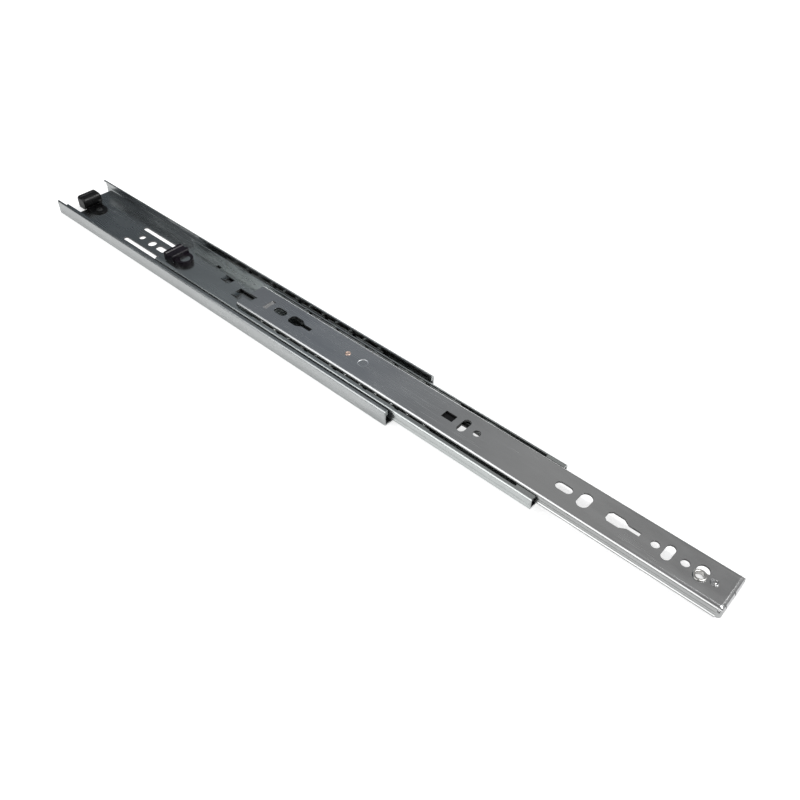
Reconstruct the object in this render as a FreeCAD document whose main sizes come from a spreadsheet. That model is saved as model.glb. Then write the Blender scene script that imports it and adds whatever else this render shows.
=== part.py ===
import FreeCAD, Part
import math
import os
import Sketcher
from FreeCAD import Vector

# Full-extension ball-bearing slide rail: an outer, an intermediate and an inner member of rolled
# steel, two ball cages with their balls, two bumpers, a release lever and a height adjuster.
# Millimetres. +X is the way the slide extends, +Y crosses it, +Z is up from the fixing face.
# The origin is the middle of the outer member's fixing face. The slide is shown partly extended.

DOC = FreeCAD.newDocument("slide_rail")
SHEET = DOC.addObject("Spreadsheet::Sheet", "Sizes")

SIZES = [
    # how far the members stand out of each other, and where they lie when the slide is closed
    ("first_stage", 101.0, "intermediate member, out of the outer one"),
    ("second_stage", 103.5, "inner member, out of the intermediate one"),
    ("middle_start", 19.0, "intermediate member from the outer one's rear end, closed"),
    ("inner_start", 1.0, "inner member from the outer one's rear end, closed"),
    ("outer_cage_start", 105.0, "outer cage from the outer member's rear end, closed"),
    ("inner_cage_start", 70.4, "inner cage from the outer member's rear end, closed"),
    # rolled channels
    ("outer_length", 350.0, "outer member, rear end to front end"),
    ("outer_width", 45.0, "outer member over its flanges"),
    ("outer_top", 11.9, "outer member, top of its lips"),
    ("outer_lip", 2.6, "outer lip, in from the flange's face"),
    ("middle_length", 331.0, "intermediate member, rear end to front end"),
    ("middle_width", 35.4, "intermediate member over its flanges"),
    ("middle_floor", 2.5, "intermediate member, underside of its web"),
    ("middle_top", 10.8, "intermediate member, top of its lips"),
    ("middle_lip", 2.4, "intermediate lip, in from the flange's face"),
    ("inner_length", 352.0, "inner member, rear end to nose"),
    ("inner_width", 26.4, "inner member over its flanges"),
    ("inner_top", 12.7, "inner member, top of its web"),
    ("inner_foot", 5.15, "inner member, lower edge of its flanges"),
    ("sheet", 1.2, "steel sheet of the three members"),
    ("bend", 2.3, "outside radius of the bends between the channels' flanges and lips"),
    ("web_bend", 1.3, "outside radius of the bends between their webs and flanges"),
    ("inner_bend", 2.8, "outside radius of the inner member's bends"),
    ("nose_bend", 2.5, "outside radius of the bend at its nose"),
    # balls and cages
    ("ball", 4.0, "ball diameter"),
    ("ball_play", 0.1, "clearance of a ball in its raceway"),
    ("raceway", 0.1, "depth of the raceway inside the intermediate flange"),
    ("outer_ball_height", 5.6, "height of the outer balls' centres"),
    ("inner_ball_height", 7.6, "height of the inner balls' centres"),
    ("ball_pitch", 12.9, "from ball to ball"),
    ("cage_end", 6.2, "end ball's centre to the end of its cage"),
    ("cage_sheet", 0.6, "cage strip"),
    ("cage_rise", 2.6, "top of a cage over its balls' centres"),
    ("cage_lift", 0.4, "cage floor over the web below it"),
    ("cage_bridge", 36.0, "length of the floor that joins a cage's sides"),
    ("socket_play", 0.05, "clearance of a ball in its socket"),
    ("cage_notch", 3.2, "length of a notch in a cage's top edge"),
    ("cage_notch_depth", 1.3, "depth of that notch"),
    # end stops
    ("crimp", 12.0, "length of the pressed lips at the intermediate front end"),
    ("crimp_gap", 0.4, "pressed lips to the inner member"),
    ("stop", 2.5, "length of the turned-down lips at the outer front end"),
    ("stop_foot", 8.0, "lower edge of those"),
    # outer member's fixing holes, measured from each end of the member
    ("fixing_hole", 77.5, "small round hole from the end"),
    ("fixing_radius", 2.6, "its radius"),
    ("access_hole", 90.0, "large round hole from the end"),
    ("access_radius", 3.4, "its radius"),
    ("fixing_slot", 101.5, "middle of the short slot from the end"),
    ("fixing_slot_length", 10.6, "its length"),
    ("fixing_slot_width", 5.4, "its width"),
    ("side_slot", 88.5, "middle of the long slots from the end"),
    ("side_slot_length", 42.0, "their length"),
    ("side_slot_width", 3.8, "their width"),
    ("side_slot_spacing", 18.2, "between the long slots"),
    ("corner_relief", 11.5, "cut-away rear corner of the web, from the rear end"),
    ("corner_side", 5.4, "its edge, across from the member's middle"),
    # inner member's rear and middle openings, measured from its rear end
    ("rear_notch", 7.4, "depth of the notch in the rear edge of the web"),
    ("rear_notch_near", -6.4, "its near side"),
    ("rear_notch_far", -0.4, "its far side"),
    ("catch", 17.1, "root of the bent catch"),
    ("catch_length", 3.3, "opening of the catch"),
    ("catch_width", 9.4, "catch across the web"),
    ("catch_foot", 10.35, "lower edge of the catch"),
    ("rear_slot", 30.0, "middle of the rear slot"),
    ("rear_bottle", 39.4, "wide end of the rear bottle window"),
    ("lever_pivot", 92.5, "lever rivet"),
    ("lever_seat", 105.5, "sunk seat ahead of the rivet"),
    ("window", 174.8, "middle of the rectangular window"),
    ("middle_cross", 185.8, "middle of the crosswise slot next to it"),
    ("middle_hole", 195.2, "round hole next to that"),
    # inner member's front openings, measured back from its nose
    ("front_slot", 97.8, "middle of the front slot"),
    ("wide_hole", 84.9, "middle of the wide hole"),
    ("front_bottle", 71.2, "wide end of the front bottle window"),
    ("front_hole", 43.1, "first round hole at the front"),
    ("front_cross", 35.8, "middle of the crosswise slot at the front"),
    ("nose_hole", 26.5, "second round hole at the front"),
    ("adjuster", 17.85, "slot of the height adjuster"),
    ("adjuster_rivet", 10.5, "rivet of the height adjuster"),
    # the inner member's openings themselves
    ("screw_radius", 2.4, "the inner member's round holes"),
    ("slot_length", 10.3, "lengthwise slots"),
    ("slot_width", 5.5, "width of those"),
    ("cross_length", 10.9, "crosswise slots, across the web"),
    ("cross_width", 5.2, "width of those"),
    ("wide_width", 7.2, "width of the wide hole, along the web"),
    ("window_length", 8.0, "rectangular window"),
    ("window_width", 5.6, "width of that"),
    ("bottle_width", 7.4, "bottle window, wide end"),
    ("bottle_body", 8.6, "length of its wide end"),
    ("bottle_taper", 3.6, "length of its taper"),
    ("bottle_neck", 19.4, "whole length of the bottle window"),
    ("neck_width", 2.9, "width of its neck"),
    ("bottle_corner", 1.8, "cut corners of its wide end"),
    ("nose_foot", 5.9, "lower edge of the nose tab"),
    ("nose_corner", 2.2, "outside radius of its corners, seen from above"),
    ("nose_slit", 0.7, "width of the two slits in the nose tab"),
    ("nose_slit_far", 1.0, "first slit, across the web"),
    ("nose_slit_near", -8.7, "second slit, across the web"),
    # intermediate member's openings, measured from its rear end but for the large one
    ("view_hole", 58.8, "middle of the large opening, back from the front end"),
    ("view_length", 26.5, "its length"),
    ("view_width", 14.8, "its width"),
    ("long_tongue", 66.0, "rear end of the long window and its tongue"),
    ("long_window", 16.0, "length of that window"),
    ("long_window_far", 6.4, "far edge of that window"),
    ("long_window_near", -3.0, "near edge of the part that holds the tongue"),
    ("tongue_side", 1.0, "edge between the tongue and the rest of that window"),
    ("long_tongue_length", 7.0, "length of the tongue in it"),
    ("short_tongue", 46.2, "rear end of the short window and its tongue"),
    ("short_window", 9.2, "length of that window"),
    ("short_window_near", 4.0, "near edge of the short window"),
    ("short_window_width", 5.8, "its width"),
    ("small_window", 32.0, "rear end of the small window by the far flange"),
    ("small_window_edge", 4.1, "its far edge from the flange's face"),
    ("tongue_rise", 1.6, "tongues over the web"),
    # bumpers
    ("bumper_rear", 3.0, "rear bumper's block from the member's end"),
    ("bumper_front", 14.2, "front of that block"),
    ("bumper_width", 16.0, "block across"),
    ("bumper_top", 11.0, "top of the block over the fixing face"),
    ("bumper_round", 4.4, "radius of its front upper edge"),
    ("bumper_toe", 11.3, "front of the block where it meets its foot"),
    ("bumper_groove", 7.3, "middle of the groove across its top"),
    ("bumper_button", 20.6, "pressed button that holds the rear bumper"),
    ("button_radius", 2.2, "that button"),
    ("button_rise", 0.8, "that button over the web"),
    ("button_wall", 0.5, "wall of a pressed button"),
    ("tongue_end", 6.0, "rounded end of the bumper's foot"),
    ("foot_thickness", 1.0, "bumper's foot"),
    ("buffer_rear", 4.5, "intermediate bumper behind the member's end"),
    ("buffer_front", 7.5, "its block ahead of the member's end"),
    ("buffer_width", 15.0, "its block across"),
    ("buffer_top", 10.0, "its ridge over the fixing face"),
    ("ring_centre", 10.4, "ring of the intermediate bumper"),
    ("ring_radius", 6.5, "outside of the ring"),
    ("ring_boss_place", 11.5, "boss inside the ring"),
    ("ring_boss_play", 0.35, "ring's bore around that boss"),
    ("ring_top", 7.0, "top of the ring over the fixing face"),
    ("ring_boss", 3.8, "radius of that boss"),
    ("ring_boss_rise", 3.0, "that boss over the web"),
    # release lever and its rivet
    ("lever_gap", 0.5, "lever under the web"),
    ("lever_thickness", 2.6, "lever"),
    ("lever_length", 89.0, "pivot to the tip of the lever"),
    ("lever_boss", 4.6, "lever's boss"),
    ("lever_arm", 5.0, "width of the arm"),
    ("lever_head", 9.0, "width of the thumb end"),
    ("lever_head_length", 17.0, "length of the thumb end"),
    ("side_arm_length", 30.0, "flexing side arm, from its root to its tip"),
    ("side_arm_spread", 6.4, "its tip, out from the arm"),
    ("rivet_radius", 1.45, "rivet's shank"),
    ("rivet_play", 0.05, "lever on the rivet"),
    ("rivet_head", 1.95, "formed head on the web"),
    ("rivet_head_rise", 0.35, "that head over the web"),
    ("rivet_foot", 3.2, "lower head"),
    # height adjuster: a plate under the web, swung on a rivet, that carries an eyelet
    ("adjuster_slot", 11.0, "slot across the web for the eyelet"),
    ("adjuster_side", -0.8, "adjuster rivet across the web"),
    ("adjuster_reach", 7.5, "rivet to eyelet"),
    ("adjuster_swing", -1.2, "eyelet across the web from the rivet, as shown"),
    ("eyelet_radius", 3.1, "eyelet outside"),
    ("eyelet_bore", 2.2, "eyelet bore"),
    ("eyelet_play", 0.25, "eyelet in its slot"),
    ("eyelet_rim", 0.5, "eyelet's rim, out from its wall"),
    ("eyelet_gap", 0.15, "rim over the web"),
    ("eyelet_rise", 0.65, "top of the rim over the web"),
    ("plate_gap", 0.2, "plate under the web"),
    ("plate_thickness", 0.6, "plate"),
    ("plate_margin", 1.6, "plate around the eyelet"),
    ("nail_radius", 1.6, "adjuster rivet's shank"),
    ("nail_head", 2.3, "its head on the web"),
    ("nail_rise", 0.35, "that head over the web"),
    ("nail_foot", 2.8, "its lower head"),
]

BALLS_PER_ROW = 12
DIAGONAL = math.sqrt(0.5)


class Size:
    """A length together with the sheet expression that gives it."""

    def __init__(self, number, text):
        self.number = number
        self.text = text

    def joined(self, other, sign, number):
        return Size(number, f"({self.text} {sign} {size_of(other).text})")

    def __add__(self, other):
        return self.joined(other, "+", self.number + size_of(other).number)

    def __sub__(self, other):
        return self.joined(other, "-", self.number - size_of(other).number)

    def __mul__(self, other):
        return self.joined(other, "*", self.number * size_of(other).number)

    def __truediv__(self, other):
        return self.joined(other, "/", self.number / size_of(other).number)

    def __neg__(self):
        return Size(-self.number, f"(0 - {self.text})")

    def root(self):
        return Size(math.sqrt(self.number), f"sqrt({self.text})")


def size_of(value):
    """A bare number becomes a Size of itself."""
    return value if isinstance(value, Size) else Size(value, repr(float(value)))


def smaller(one, other):
    return Size(min(one.number, other.number), f"min({one.text}; {other.text})")


ZERO = size_of(0)


def fill_sheet():
    """Writes the sizes to the sheet and returns them by name."""
    sizes = {}
    for row, (name, number, meaning) in enumerate(SIZES, 1):
        SHEET.set(f"A{row}", meaning)
        SHEET.set(f"B{row}", str(number))
        SHEET.setAlias(f"B{row}", name)
        sizes[name] = Size(number, f"Sizes.{name}")
    DOC.recompute()
    return sizes


S = fill_sheet()


# ---- places that several pieces share -------------------------------------------------------

OUTER_REAR = -(S["outer_length"] / 2)
MIDDLE_REAR = OUTER_REAR + S["middle_start"] + S["first_stage"]
INNER_REAR = OUTER_REAR + S["inner_start"] + S["first_stage"] + S["second_stage"]
OUTER_CAGE_REAR = OUTER_REAR + S["outer_cage_start"] + S["first_stage"] / 2
INNER_CAGE_REAR = OUTER_REAR + S["inner_cage_start"] + S["first_stage"] + S["second_stage"] / 2

TRACK = S["ball"] / 2 + S["ball_play"]
OUTER_HALF = S["outer_width"] / 2
MIDDLE_HALF = S["middle_width"] / 2
INNER_HALF = S["inner_width"] / 2
MIDDLE_WEB_TOP = S["middle_floor"] + S["sheet"]
INNER_WEB_UNDER = S["inner_top"] - S["sheet"]
OUTER_BALL_SIDE = (OUTER_HALF - S["sheet"] + MIDDLE_HALF) / 2
INNER_BALL_SIDE = MIDDLE_HALF - S["sheet"] + S["raceway"] - TRACK
CAGE_LENGTH = S["ball_pitch"] * (BALLS_PER_ROW - 1) + S["cage_end"] * 2


# ---- modelling helpers ----------------------------------------------------------------------

def new_body(label, rear=ZERO, side=ZERO, height=ZERO):
    """A PartDesign body with its own frame at the given place."""
    body = DOC.addObject("PartDesign::Body", label)
    body.Label = label
    for axis, place in (("x", rear), ("y", side), ("z", height)):
        body.setExpression(f".Placement.Base.{axis}", place.text)
    return body


def new_sketch(body, name, role, lift=ZERO):
    """An empty sketch on one of the body's own planes, lifted along the plane's normal."""
    sketch = body.newObject("Sketcher::SketchObject", f"{body.Name}_{name}")
    plane = [item for item in body.Origin.OriginFeatures if item.Role == role][0]
    sketch.AttachmentSupport = [(plane, "")]
    sketch.MapMode = "FlatFace"
    sketch.setExpression(".AttachmentOffset.Base.z", lift.text)
    return sketch


def bind(sketch, kind, where, size):
    """Adds a dimension to the sketch and ties it to the sheet."""
    index = sketch.addConstraint(Sketcher.Constraint(kind, *where, size.number))
    sketch.setExpression(f"Constraints[{index}]", size.text)


def pin_point(sketch, shape, point, across, up):
    """Ties one point of a sketch shape to its distances from the sketch's origin."""
    bind(sketch, "DistanceX", (-1, 1, shape, point), size_of(across))
    bind(sketch, "DistanceY", (-1, 1, shape, point), size_of(up))


def at(across, up):
    return Vector(size_of(across).number, size_of(up).number, 0)


def sketch_arc(start, middle, end):
    """The arc through three points, drawn counter-clockwise, and whether it had to be turned."""
    clockwise = (middle - start).cross(end - middle).z < 0
    if clockwise:
        start, end = end, start
    round_path = Part.Arc(start, middle, end).toShape().Curve
    centre = round_path.Center
    angles = [math.atan2(point.y - centre.y, point.x - centre.x) for point in (start, end)]
    if angles[1] < angles[0]:
        angles[1] += math.pi * 2
    circle = Part.Circle(centre, Vector(0, 0, 1), round_path.Radius)
    return Part.ArcOfCircle(circle, *angles), clockwise


def add_outline(sketch, points, bulges=None):
    """A closed outline through points. bulges gives an edge, by its number, as an arc:
    its radius and the point in its middle."""
    bulges = bulges or {}
    first = sketch.GeometryCount
    count = len(points)
    places = [at(*point) for point in points]
    ends = []
    for number, start in enumerate(places):
        end = places[(number + 1) % count]
        shape, turned = Part.LineSegment(start, end), False
        if number in bulges:
            shape, turned = sketch_arc(start, at(*bulges[number][1]), end)
        sketch.addGeometry(shape, False)
        ends.append((2, 1) if turned else (1, 2))
    for number, point in enumerate(points):
        following = (number + 1) % count
        here, there = first + number, first + following
        joint = Sketcher.Constraint("Coincident", here, ends[number][1], there, ends[following][0])
        sketch.addConstraint(joint)
        pin_point(sketch, here, ends[number][0], *point)
        if number in bulges:
            bind(sketch, "Radius", (here,), bulges[number][0])


def add_tongue(sketch, start, hub, radius):
    """A straight strip from start to the hub, where it ends in a half circle."""
    slant = radius * DIAGONAL
    add_outline(
        sketch,
        [(start, -radius), (hub, -radius), (hub + radius, ZERO), (hub, radius), (start, radius)],
        {1: (radius, (hub + slant, -slant)), 2: (radius, (hub + slant, slant))},
    )


def add_circle(sketch, across, up, radius):
    radius = size_of(radius)
    shape = sketch.addGeometry(Part.Circle(at(across, up), Vector(0, 0, 1), radius.number), False)
    pin_point(sketch, shape, 3, across, up)
    bind(sketch, "Radius", (shape,), radius)


def add_flats(sketch, across, up, radius, sides):
    """A regular polygon whose sides touch a circle."""
    corner = radius / math.cos(math.pi / sides)
    angles = [math.pi * (2 * number + 1) / sides for number in range(sides)]
    add_outline(
        sketch,
        [(across + corner * math.cos(angle), up + corner * math.sin(angle)) for angle in angles],
    )


def add_rectangle(sketch, left, right, low, high):
    add_outline(sketch, [(left, low), (right, low), (right, high), (left, high)])


def add_obround(sketch, across, up, length, width, crosswise=False):
    """A slot with round ends. length is end to end."""
    radius = width / 2
    reach = (length - width) / 2
    if crosswise:
        centres = [(across, size_of(up) - reach), (across, size_of(up) + reach)]
    else:
        centres = [(size_of(across) - reach, up), (size_of(across) + reach, up)]
    turn = math.pi if crosswise else math.pi / 2
    first = sketch.GeometryCount
    ends = []
    for number, centre in enumerate(centres):
        circle = Part.Circle(at(*centre), Vector(0, 0, 1), radius.number)
        start = turn + number * math.pi
        arc = Part.ArcOfCircle(circle, start, start + math.pi)
        sketch.addGeometry(arc, False)
        ends.append((arc.StartPoint, arc.EndPoint))
        pin_point(sketch, first + number, 3, *centre)
    for number in (0, 1):
        sketch.addGeometry(Part.LineSegment(ends[number][1], ends[1 - number][0]), False)
    for number in (0, 1):
        line = first + 2 + number
        sketch.addConstraint(Sketcher.Constraint("Tangent", first + number, 2, line, 1))
        sketch.addConstraint(Sketcher.Constraint("Tangent", line, 2, first + 1 - number, 1))
    bind(sketch, "Radius", (first,), radius)
    sketch.addConstraint(Sketcher.Constraint("Equal", first, first + 1))


def pad(body, sketch, length, midplane=False, backwards=False):
    feature = body.newObject("PartDesign::Pad", f"{sketch.Name}_pad")
    feature.Profile = sketch
    feature.setExpression("Length", length.text)
    feature.SideType = "Symmetric" if midplane else "One side"
    feature.Reversed = backwards
    DOC.recompute()
    return feature


def pocket(body, sketch, depth=None, upwards=False):
    """Cuts the sketch down to a depth, or through everything both ways when depth is left out."""
    before = body.Shape.Volume
    feature = body.newObject("PartDesign::Pocket", f"{sketch.Name}_cut")
    feature.Profile = sketch
    if depth is None:
        feature.SideType = "Two sides"
        feature.Type = "ThroughAll"
        feature.Type2 = "ThroughAll"
    else:
        feature.setExpression("Length", depth.text)
        feature.Reversed = upwards
    DOC.recompute()
    if body.Shape.Volume > before - 1e-4:
        raise RuntimeError(f"{feature.Name} cuts nothing")
    return feature


def round_edges(body, name, test, radius):
    """A fillet on the edges that pass the test."""
    DOC.recompute()
    edges = [f"Edge{n}" for n, edge in enumerate(body.Tip.Shape.Edges, 1) if test(edge)]
    if not edges:
        raise RuntimeError(f"{body.Label}: no edges for {name}")
    base = body.Tip
    feature = body.newObject("PartDesign::Fillet", f"{body.Name}_{name}")
    feature.Base = (base, edges)
    feature.setExpression("Radius", radius.text)
    DOC.recompute()
    return feature


def cut_edges(body, name, test, size):
    """A chamfer on the edges that pass the test."""
    base = body.Tip
    edges = [f"Edge{n}" for n, edge in enumerate(base.Shape.Edges, 1) if test(edge)]
    feature = body.newObject("PartDesign::Chamfer", f"{body.Name}_{name}")
    feature.Base = (base, edges)
    feature.setExpression("Size", size.text)
    DOC.recompute()
    return feature


def along(edge, axis):
    """True for a straight edge parallel to an axis given as x, y or z."""
    if not isinstance(edge.Curve, Part.Line):
        return False
    return abs(getattr(edge.Curve.Direction, axis)) > 0.999


def lies_at(edge, **place):
    """True when the middle of the edge has the given coordinates, signs aside for y."""
    middle = edge.CenterOfMass
    for axis, size in place.items():
        value = getattr(middle, axis)
        value = abs(value) if axis == "y" else value
        if abs(value - size.number) > 0.01:
            return False
    return True


def repeat_along(body, feature, spacing, count):
    """Repeats a feature along the body's X axis."""
    pattern = body.newObject("PartDesign::LinearPattern", f"{feature.Name}_row")
    pattern.Originals = [feature]
    axis = [item for item in body.Origin.OriginFeatures if item.Role == "X_Axis"][0]
    pattern.Direction = (axis, [""])
    pattern.setExpression("Length", (spacing * (count - 1)).text)
    pattern.Occurrences = count
    body.Tip = pattern
    DOC.recompute()
    return pattern


# ---- rolled channels ------------------------------------------------------------------------

def channel(body, length, half, floor, top, lip):
    """A web with two flanges whose lips turn in, bent from one sheet."""
    sheet = S["sheet"]
    right = [
        (half, floor),
        (half, top),
        (half - lip, top),
        (half - lip, top - sheet),
        (half - sheet, top - sheet),
        (half - sheet, floor + sheet),
    ]
    left = [(-across, up) for across, up in reversed(right)]
    section = new_sketch(body, "section", "YZ_Plane")
    add_outline(section, right + left)
    pad(body, section, length)

    def line_at(across, height):
        return lambda edge: along(edge, "x") and lies_at(edge, y=across, z=height)

    round_edges(body, "web_bends", line_at(half, floor), S["web_bend"])
    round_edges(body, "lip_bends", line_at(half, top), S["bend"])
    round_edges(body, "inner_bends", line_at(half - sheet, top - sheet), S["bend"] - sheet)


def raceways(body, name, side, height):
    """Runs for the balls, rolled into both flanges."""
    sketch = new_sketch(body, name, "YZ_Plane")
    for sign in (1, -1):
        add_circle(sketch, side * sign, height, TRACK)
    pocket(body, sketch)


def pressed_button(body, name, station, radius, web_under, rise, side=ZERO):
    """A round button half pressed out of the web, with its recess underneath."""
    web_top = web_under + S["sheet"]
    raised = new_sketch(body, f"{name}_button", "XY_Plane", web_top)
    add_circle(raised, station, side, radius)
    pad(body, raised, rise)
    sunk = new_sketch(body, f"{name}_recess", "XY_Plane", web_under)
    add_circle(sunk, station, side, radius - S["button_wall"])
    pocket(body, sunk, rise, upwards=True)


def outer_member():
    """The member that is screwed to the cabinet or rack. Its front lips turn down as stops."""
    body = new_body("outer_member", OUTER_REAR)
    channel(body, S["outer_length"], OUTER_HALF, ZERO, S["outer_top"], S["outer_lip"])
    raceways(body, "raceways", OUTER_BALL_SIDE, S["outer_ball_height"])

    stops = new_sketch(body, "stops", "YZ_Plane", S["outer_length"] - S["stop"])
    lip_edge = OUTER_HALF - S["outer_lip"]
    for sign in (1, -1):
        add_rectangle(
            stops,
            lip_edge * sign,
            (lip_edge + S["sheet"]) * sign,
            S["stop_foot"],
            S["outer_top"] - S["sheet"] / 2,
        )
    pad(body, stops, S["stop"])

    holes = new_sketch(body, "fixings", "XY_Plane")
    for from_end in (lambda place: place, lambda place: S["outer_length"] - place):
        add_circle(holes, from_end(S["fixing_hole"]), 0, S["fixing_radius"])
        add_circle(holes, from_end(S["access_hole"]), 0, S["access_radius"])
        add_obround(
            holes, from_end(S["fixing_slot"]), 0, S["fixing_slot_length"], S["fixing_slot_width"]
        )
        for sign in (1, -1):
            add_obround(
                holes,
                from_end(S["side_slot"]),
                S["side_slot_spacing"] / 2 * sign,
                S["side_slot_length"],
                S["side_slot_width"],
            )
    flange_face = S["sheet"] - OUTER_HALF
    add_rectangle(holes, -1.0, S["corner_relief"], flange_face, -S["corner_side"])
    pocket(body, holes)
    pressed_button(
        body, "bumper", S["bumper_button"], S["button_radius"], ZERO, S["button_rise"]
    )
    return body


def raised_tongue(body, name, start, length, low, high):
    """A tongue lanced out of the intermediate web: it slopes up from its root to a free edge."""
    sketch = new_sketch(body, name, "XZ_Plane", -((size_of(low) + high) / 2))
    rise = S["tongue_rise"]
    end = start + length
    add_outline(
        sketch,
        [
            (start, MIDDLE_WEB_TOP - S["sheet"]),
            (end, MIDDLE_WEB_TOP + rise - S["sheet"]),
            (end, MIDDLE_WEB_TOP + rise),
            (start, MIDDLE_WEB_TOP),
        ],
    )
    pad(body, sketch, size_of(high) - low, midplane=True)


def intermediate_member():
    """The member that carries the inner one. Its front lips are pressed in as stops."""
    body = new_body("intermediate_member", MIDDLE_REAR)
    length = S["middle_length"]
    channel(body, length, MIDDLE_HALF, S["middle_floor"], S["middle_top"], S["middle_lip"])
    raceways(body, "outer_raceways", OUTER_BALL_SIDE, S["outer_ball_height"])
    raceways(body, "inner_raceways", INNER_BALL_SIDE, S["inner_ball_height"])

    crimps = new_sketch(body, "crimps", "YZ_Plane", length - S["crimp"])
    lip_edge = MIDDLE_HALF - S["middle_lip"]
    reach = INNER_HALF + S["crimp_gap"]
    for sign in (1, -1):
        add_rectangle(
            crimps,
            reach * sign,
            (lip_edge + 0.4) * sign,
            S["middle_top"] - S["sheet"],
            S["middle_top"],
        )
    pad(body, crimps, S["crimp"])

    openings = new_sketch(body, "openings", "XY_Plane")
    add_obround(openings, length - S["view_hole"], 0, S["view_length"], S["view_width"])
    start, step = S["long_tongue"], S["long_tongue"] + S["long_tongue_length"] + 0.3
    add_outline(
        openings,
        [
            (start, S["long_window_near"]),
            (step, S["long_window_near"]),
            (step, S["tongue_side"]),
            (start + S["long_window"], S["tongue_side"]),
            (start + S["long_window"], S["long_window_far"]),
            (start, S["long_window_far"]),
        ],
    )
    add_rectangle(
        openings,
        S["short_tongue"],
        S["short_tongue"] + S["short_window"],
        S["short_window_near"],
        S["short_window_near"] + S["short_window_width"],
    )
    small_far = MIDDLE_HALF - S["small_window_edge"]
    add_rectangle(
        openings, S["small_window"], S["small_window"] + 4.3, small_far - 2.3, small_far
    )
    pocket(body, openings)
    tongue_near, tongue_far = S["long_window_near"] + 0.3, S["tongue_side"]
    tongue = S["long_tongue_length"]
    raised_tongue(body, "long_tongue", S["long_tongue"] - 0.5, tongue, tongue_near, tongue_far)
    near = S["short_window_near"] + 0.4
    raised_tongue(body, "short_tongue", S["short_tongue"] - 0.5, size_of(6.0), near, near + 3.6)
    pressed_button(
        body, "ring", S["ring_boss_place"], S["ring_boss"], S["middle_floor"], S["ring_boss_rise"]
    )
    return body


def inner_profile(sketch):
    """The inner member's section: a flat web whose flanges turn down and follow the balls."""
    half, sheet, top, foot = INNER_HALF, S["sheet"], S["inner_top"], S["inner_foot"]
    height, side = S["inner_ball_height"], INNER_BALL_SIDE
    back = TRACK + sheet
    outer_rise = (TRACK * TRACK - (side - half) * (side - half)).root()
    inner_face = half - sheet
    inner_rise = (back * back - (side - inner_face) * (side - inner_face)).root()
    bend = smaller(S["inner_bend"], top - height - inner_rise - 0.1)
    right = [
        (half - bend, top),
        (half, top - bend),
        (half, height + outer_rise),
        (half, height - outer_rise),
        (half, foot),
        (inner_face, foot),
        (inner_face, height - inner_rise),
        (inner_face, height + inner_rise),
        (inner_face, top - bend),
        (half - bend, top - sheet),
    ]
    inner_bend = bend - sheet
    right_bulges = {
        0: (bend, (half - bend + bend * DIAGONAL, top - bend + bend * DIAGONAL)),
        2: (TRACK, (side - TRACK, height)),
        6: (back, (side - back, height)),
        8: (inner_bend, (half - bend + inner_bend * DIAGONAL, top - bend + inner_bend * DIAGONAL)),
    }
    last = len(right) - 1
    left = [(-across, up) for across, up in reversed(right)]
    bulges = dict(right_bulges)
    for number, (radius, (across, up)) in right_bulges.items():
        bulges[last + last - number] = (radius, (-across, up))
    add_outline(sketch, right + left, bulges)


def add_bottle(sketch, start):
    """A window with a wide end, a taper and a narrow neck that points to the front."""
    wide, neck, corner = S["bottle_width"] / 2, S["neck_width"] / 2, S["bottle_corner"]
    upper = [
        (start, wide - corner),
        (start + corner, wide),
        (start + S["bottle_body"], wide),
        (start + S["bottle_body"] + S["bottle_taper"], neck),
        (start + S["bottle_neck"], neck),
    ]
    lower = [(across, -up) for across, up in reversed(upper)]
    add_outline(sketch, upper + lower)


def nose_tab(body, web_end):
    """The web's front end, turned down and wrapped round to both flanges, with two slits."""
    length, top, sheet, foot = S["inner_length"], S["inner_top"], S["sheet"], S["nose_foot"]
    bend, half = S["nose_bend"], INNER_HALF
    small = bend - sheet
    front = new_sketch(body, "nose", "XZ_Plane")
    add_outline(
        front,
        [
            (web_end - 0.1, top),
            (web_end, top),
            (length, top - bend),
            (length, foot),
            (length - sheet, foot),
            (length - sheet, top - bend),
            (web_end, top - sheet),
            (web_end - 0.1, top - sheet),
        ],
        {
            1: (bend, (web_end + bend * DIAGONAL, top - bend + bend * DIAGONAL)),
            5: (small, (web_end + small * DIAGONAL, top - bend + small * DIAGONAL)),
        },
    )
    pad(body, front, half * 2, midplane=True)
    sides = new_sketch(body, "nose_sides", "YZ_Plane", web_end - 0.1)
    shoulder = top - S["inner_bend"]
    for sign in (1, -1):
        add_rectangle(sides, (half - sheet) * sign, half * sign, foot, shoulder)
    pad(body, sides, bend)

    above = new_sketch(body, "nose_shoulders", "YZ_Plane", web_end)
    slant = S["inner_bend"] * DIAGONAL
    for sign in (1, -1):
        flat = half - S["inner_bend"]
        add_outline(
            above,
            [
                (flat * sign, top),
                (flat * sign, top + 1.0),
                ((half + 1.0) * sign, top + 1.0),
                ((half + 1.0) * sign, shoulder),
                (half * sign, shoulder),
            ],
            {4: (S["inner_bend"], ((flat + slant) * sign, shoulder + slant))},
        )
    pocket(body, above, bend * 2, upwards=True)
    corners = new_sketch(body, "nose_corners", "XY_Plane")
    radius = S["nose_corner"]
    turn = radius * DIAGONAL
    for sign in (1, -1):
        add_outline(
            corners,
            [
                (length - radius, half * sign),
                (length - radius, (half + 1.0) * sign),
                (length + 1.0, (half + 1.0) * sign),
                (length + 1.0, (half - radius) * sign),
                (length, (half - radius) * sign),
            ],
            {4: (radius, (length - radius + turn, (half - radius + turn) * sign))},
        )
    pocket(body, corners)
    slits = new_sketch(body, "nose_slits", "YZ_Plane", web_end + bend / 4)
    for side in (S["nose_slit_far"], S["nose_slit_near"]):
        half_slit = S["nose_slit"] / 2
        add_rectangle(slits, side - half_slit, side + half_slit, foot - 1, top + 1)
    pocket(body, slits, bend * 2, upwards=True)


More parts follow.
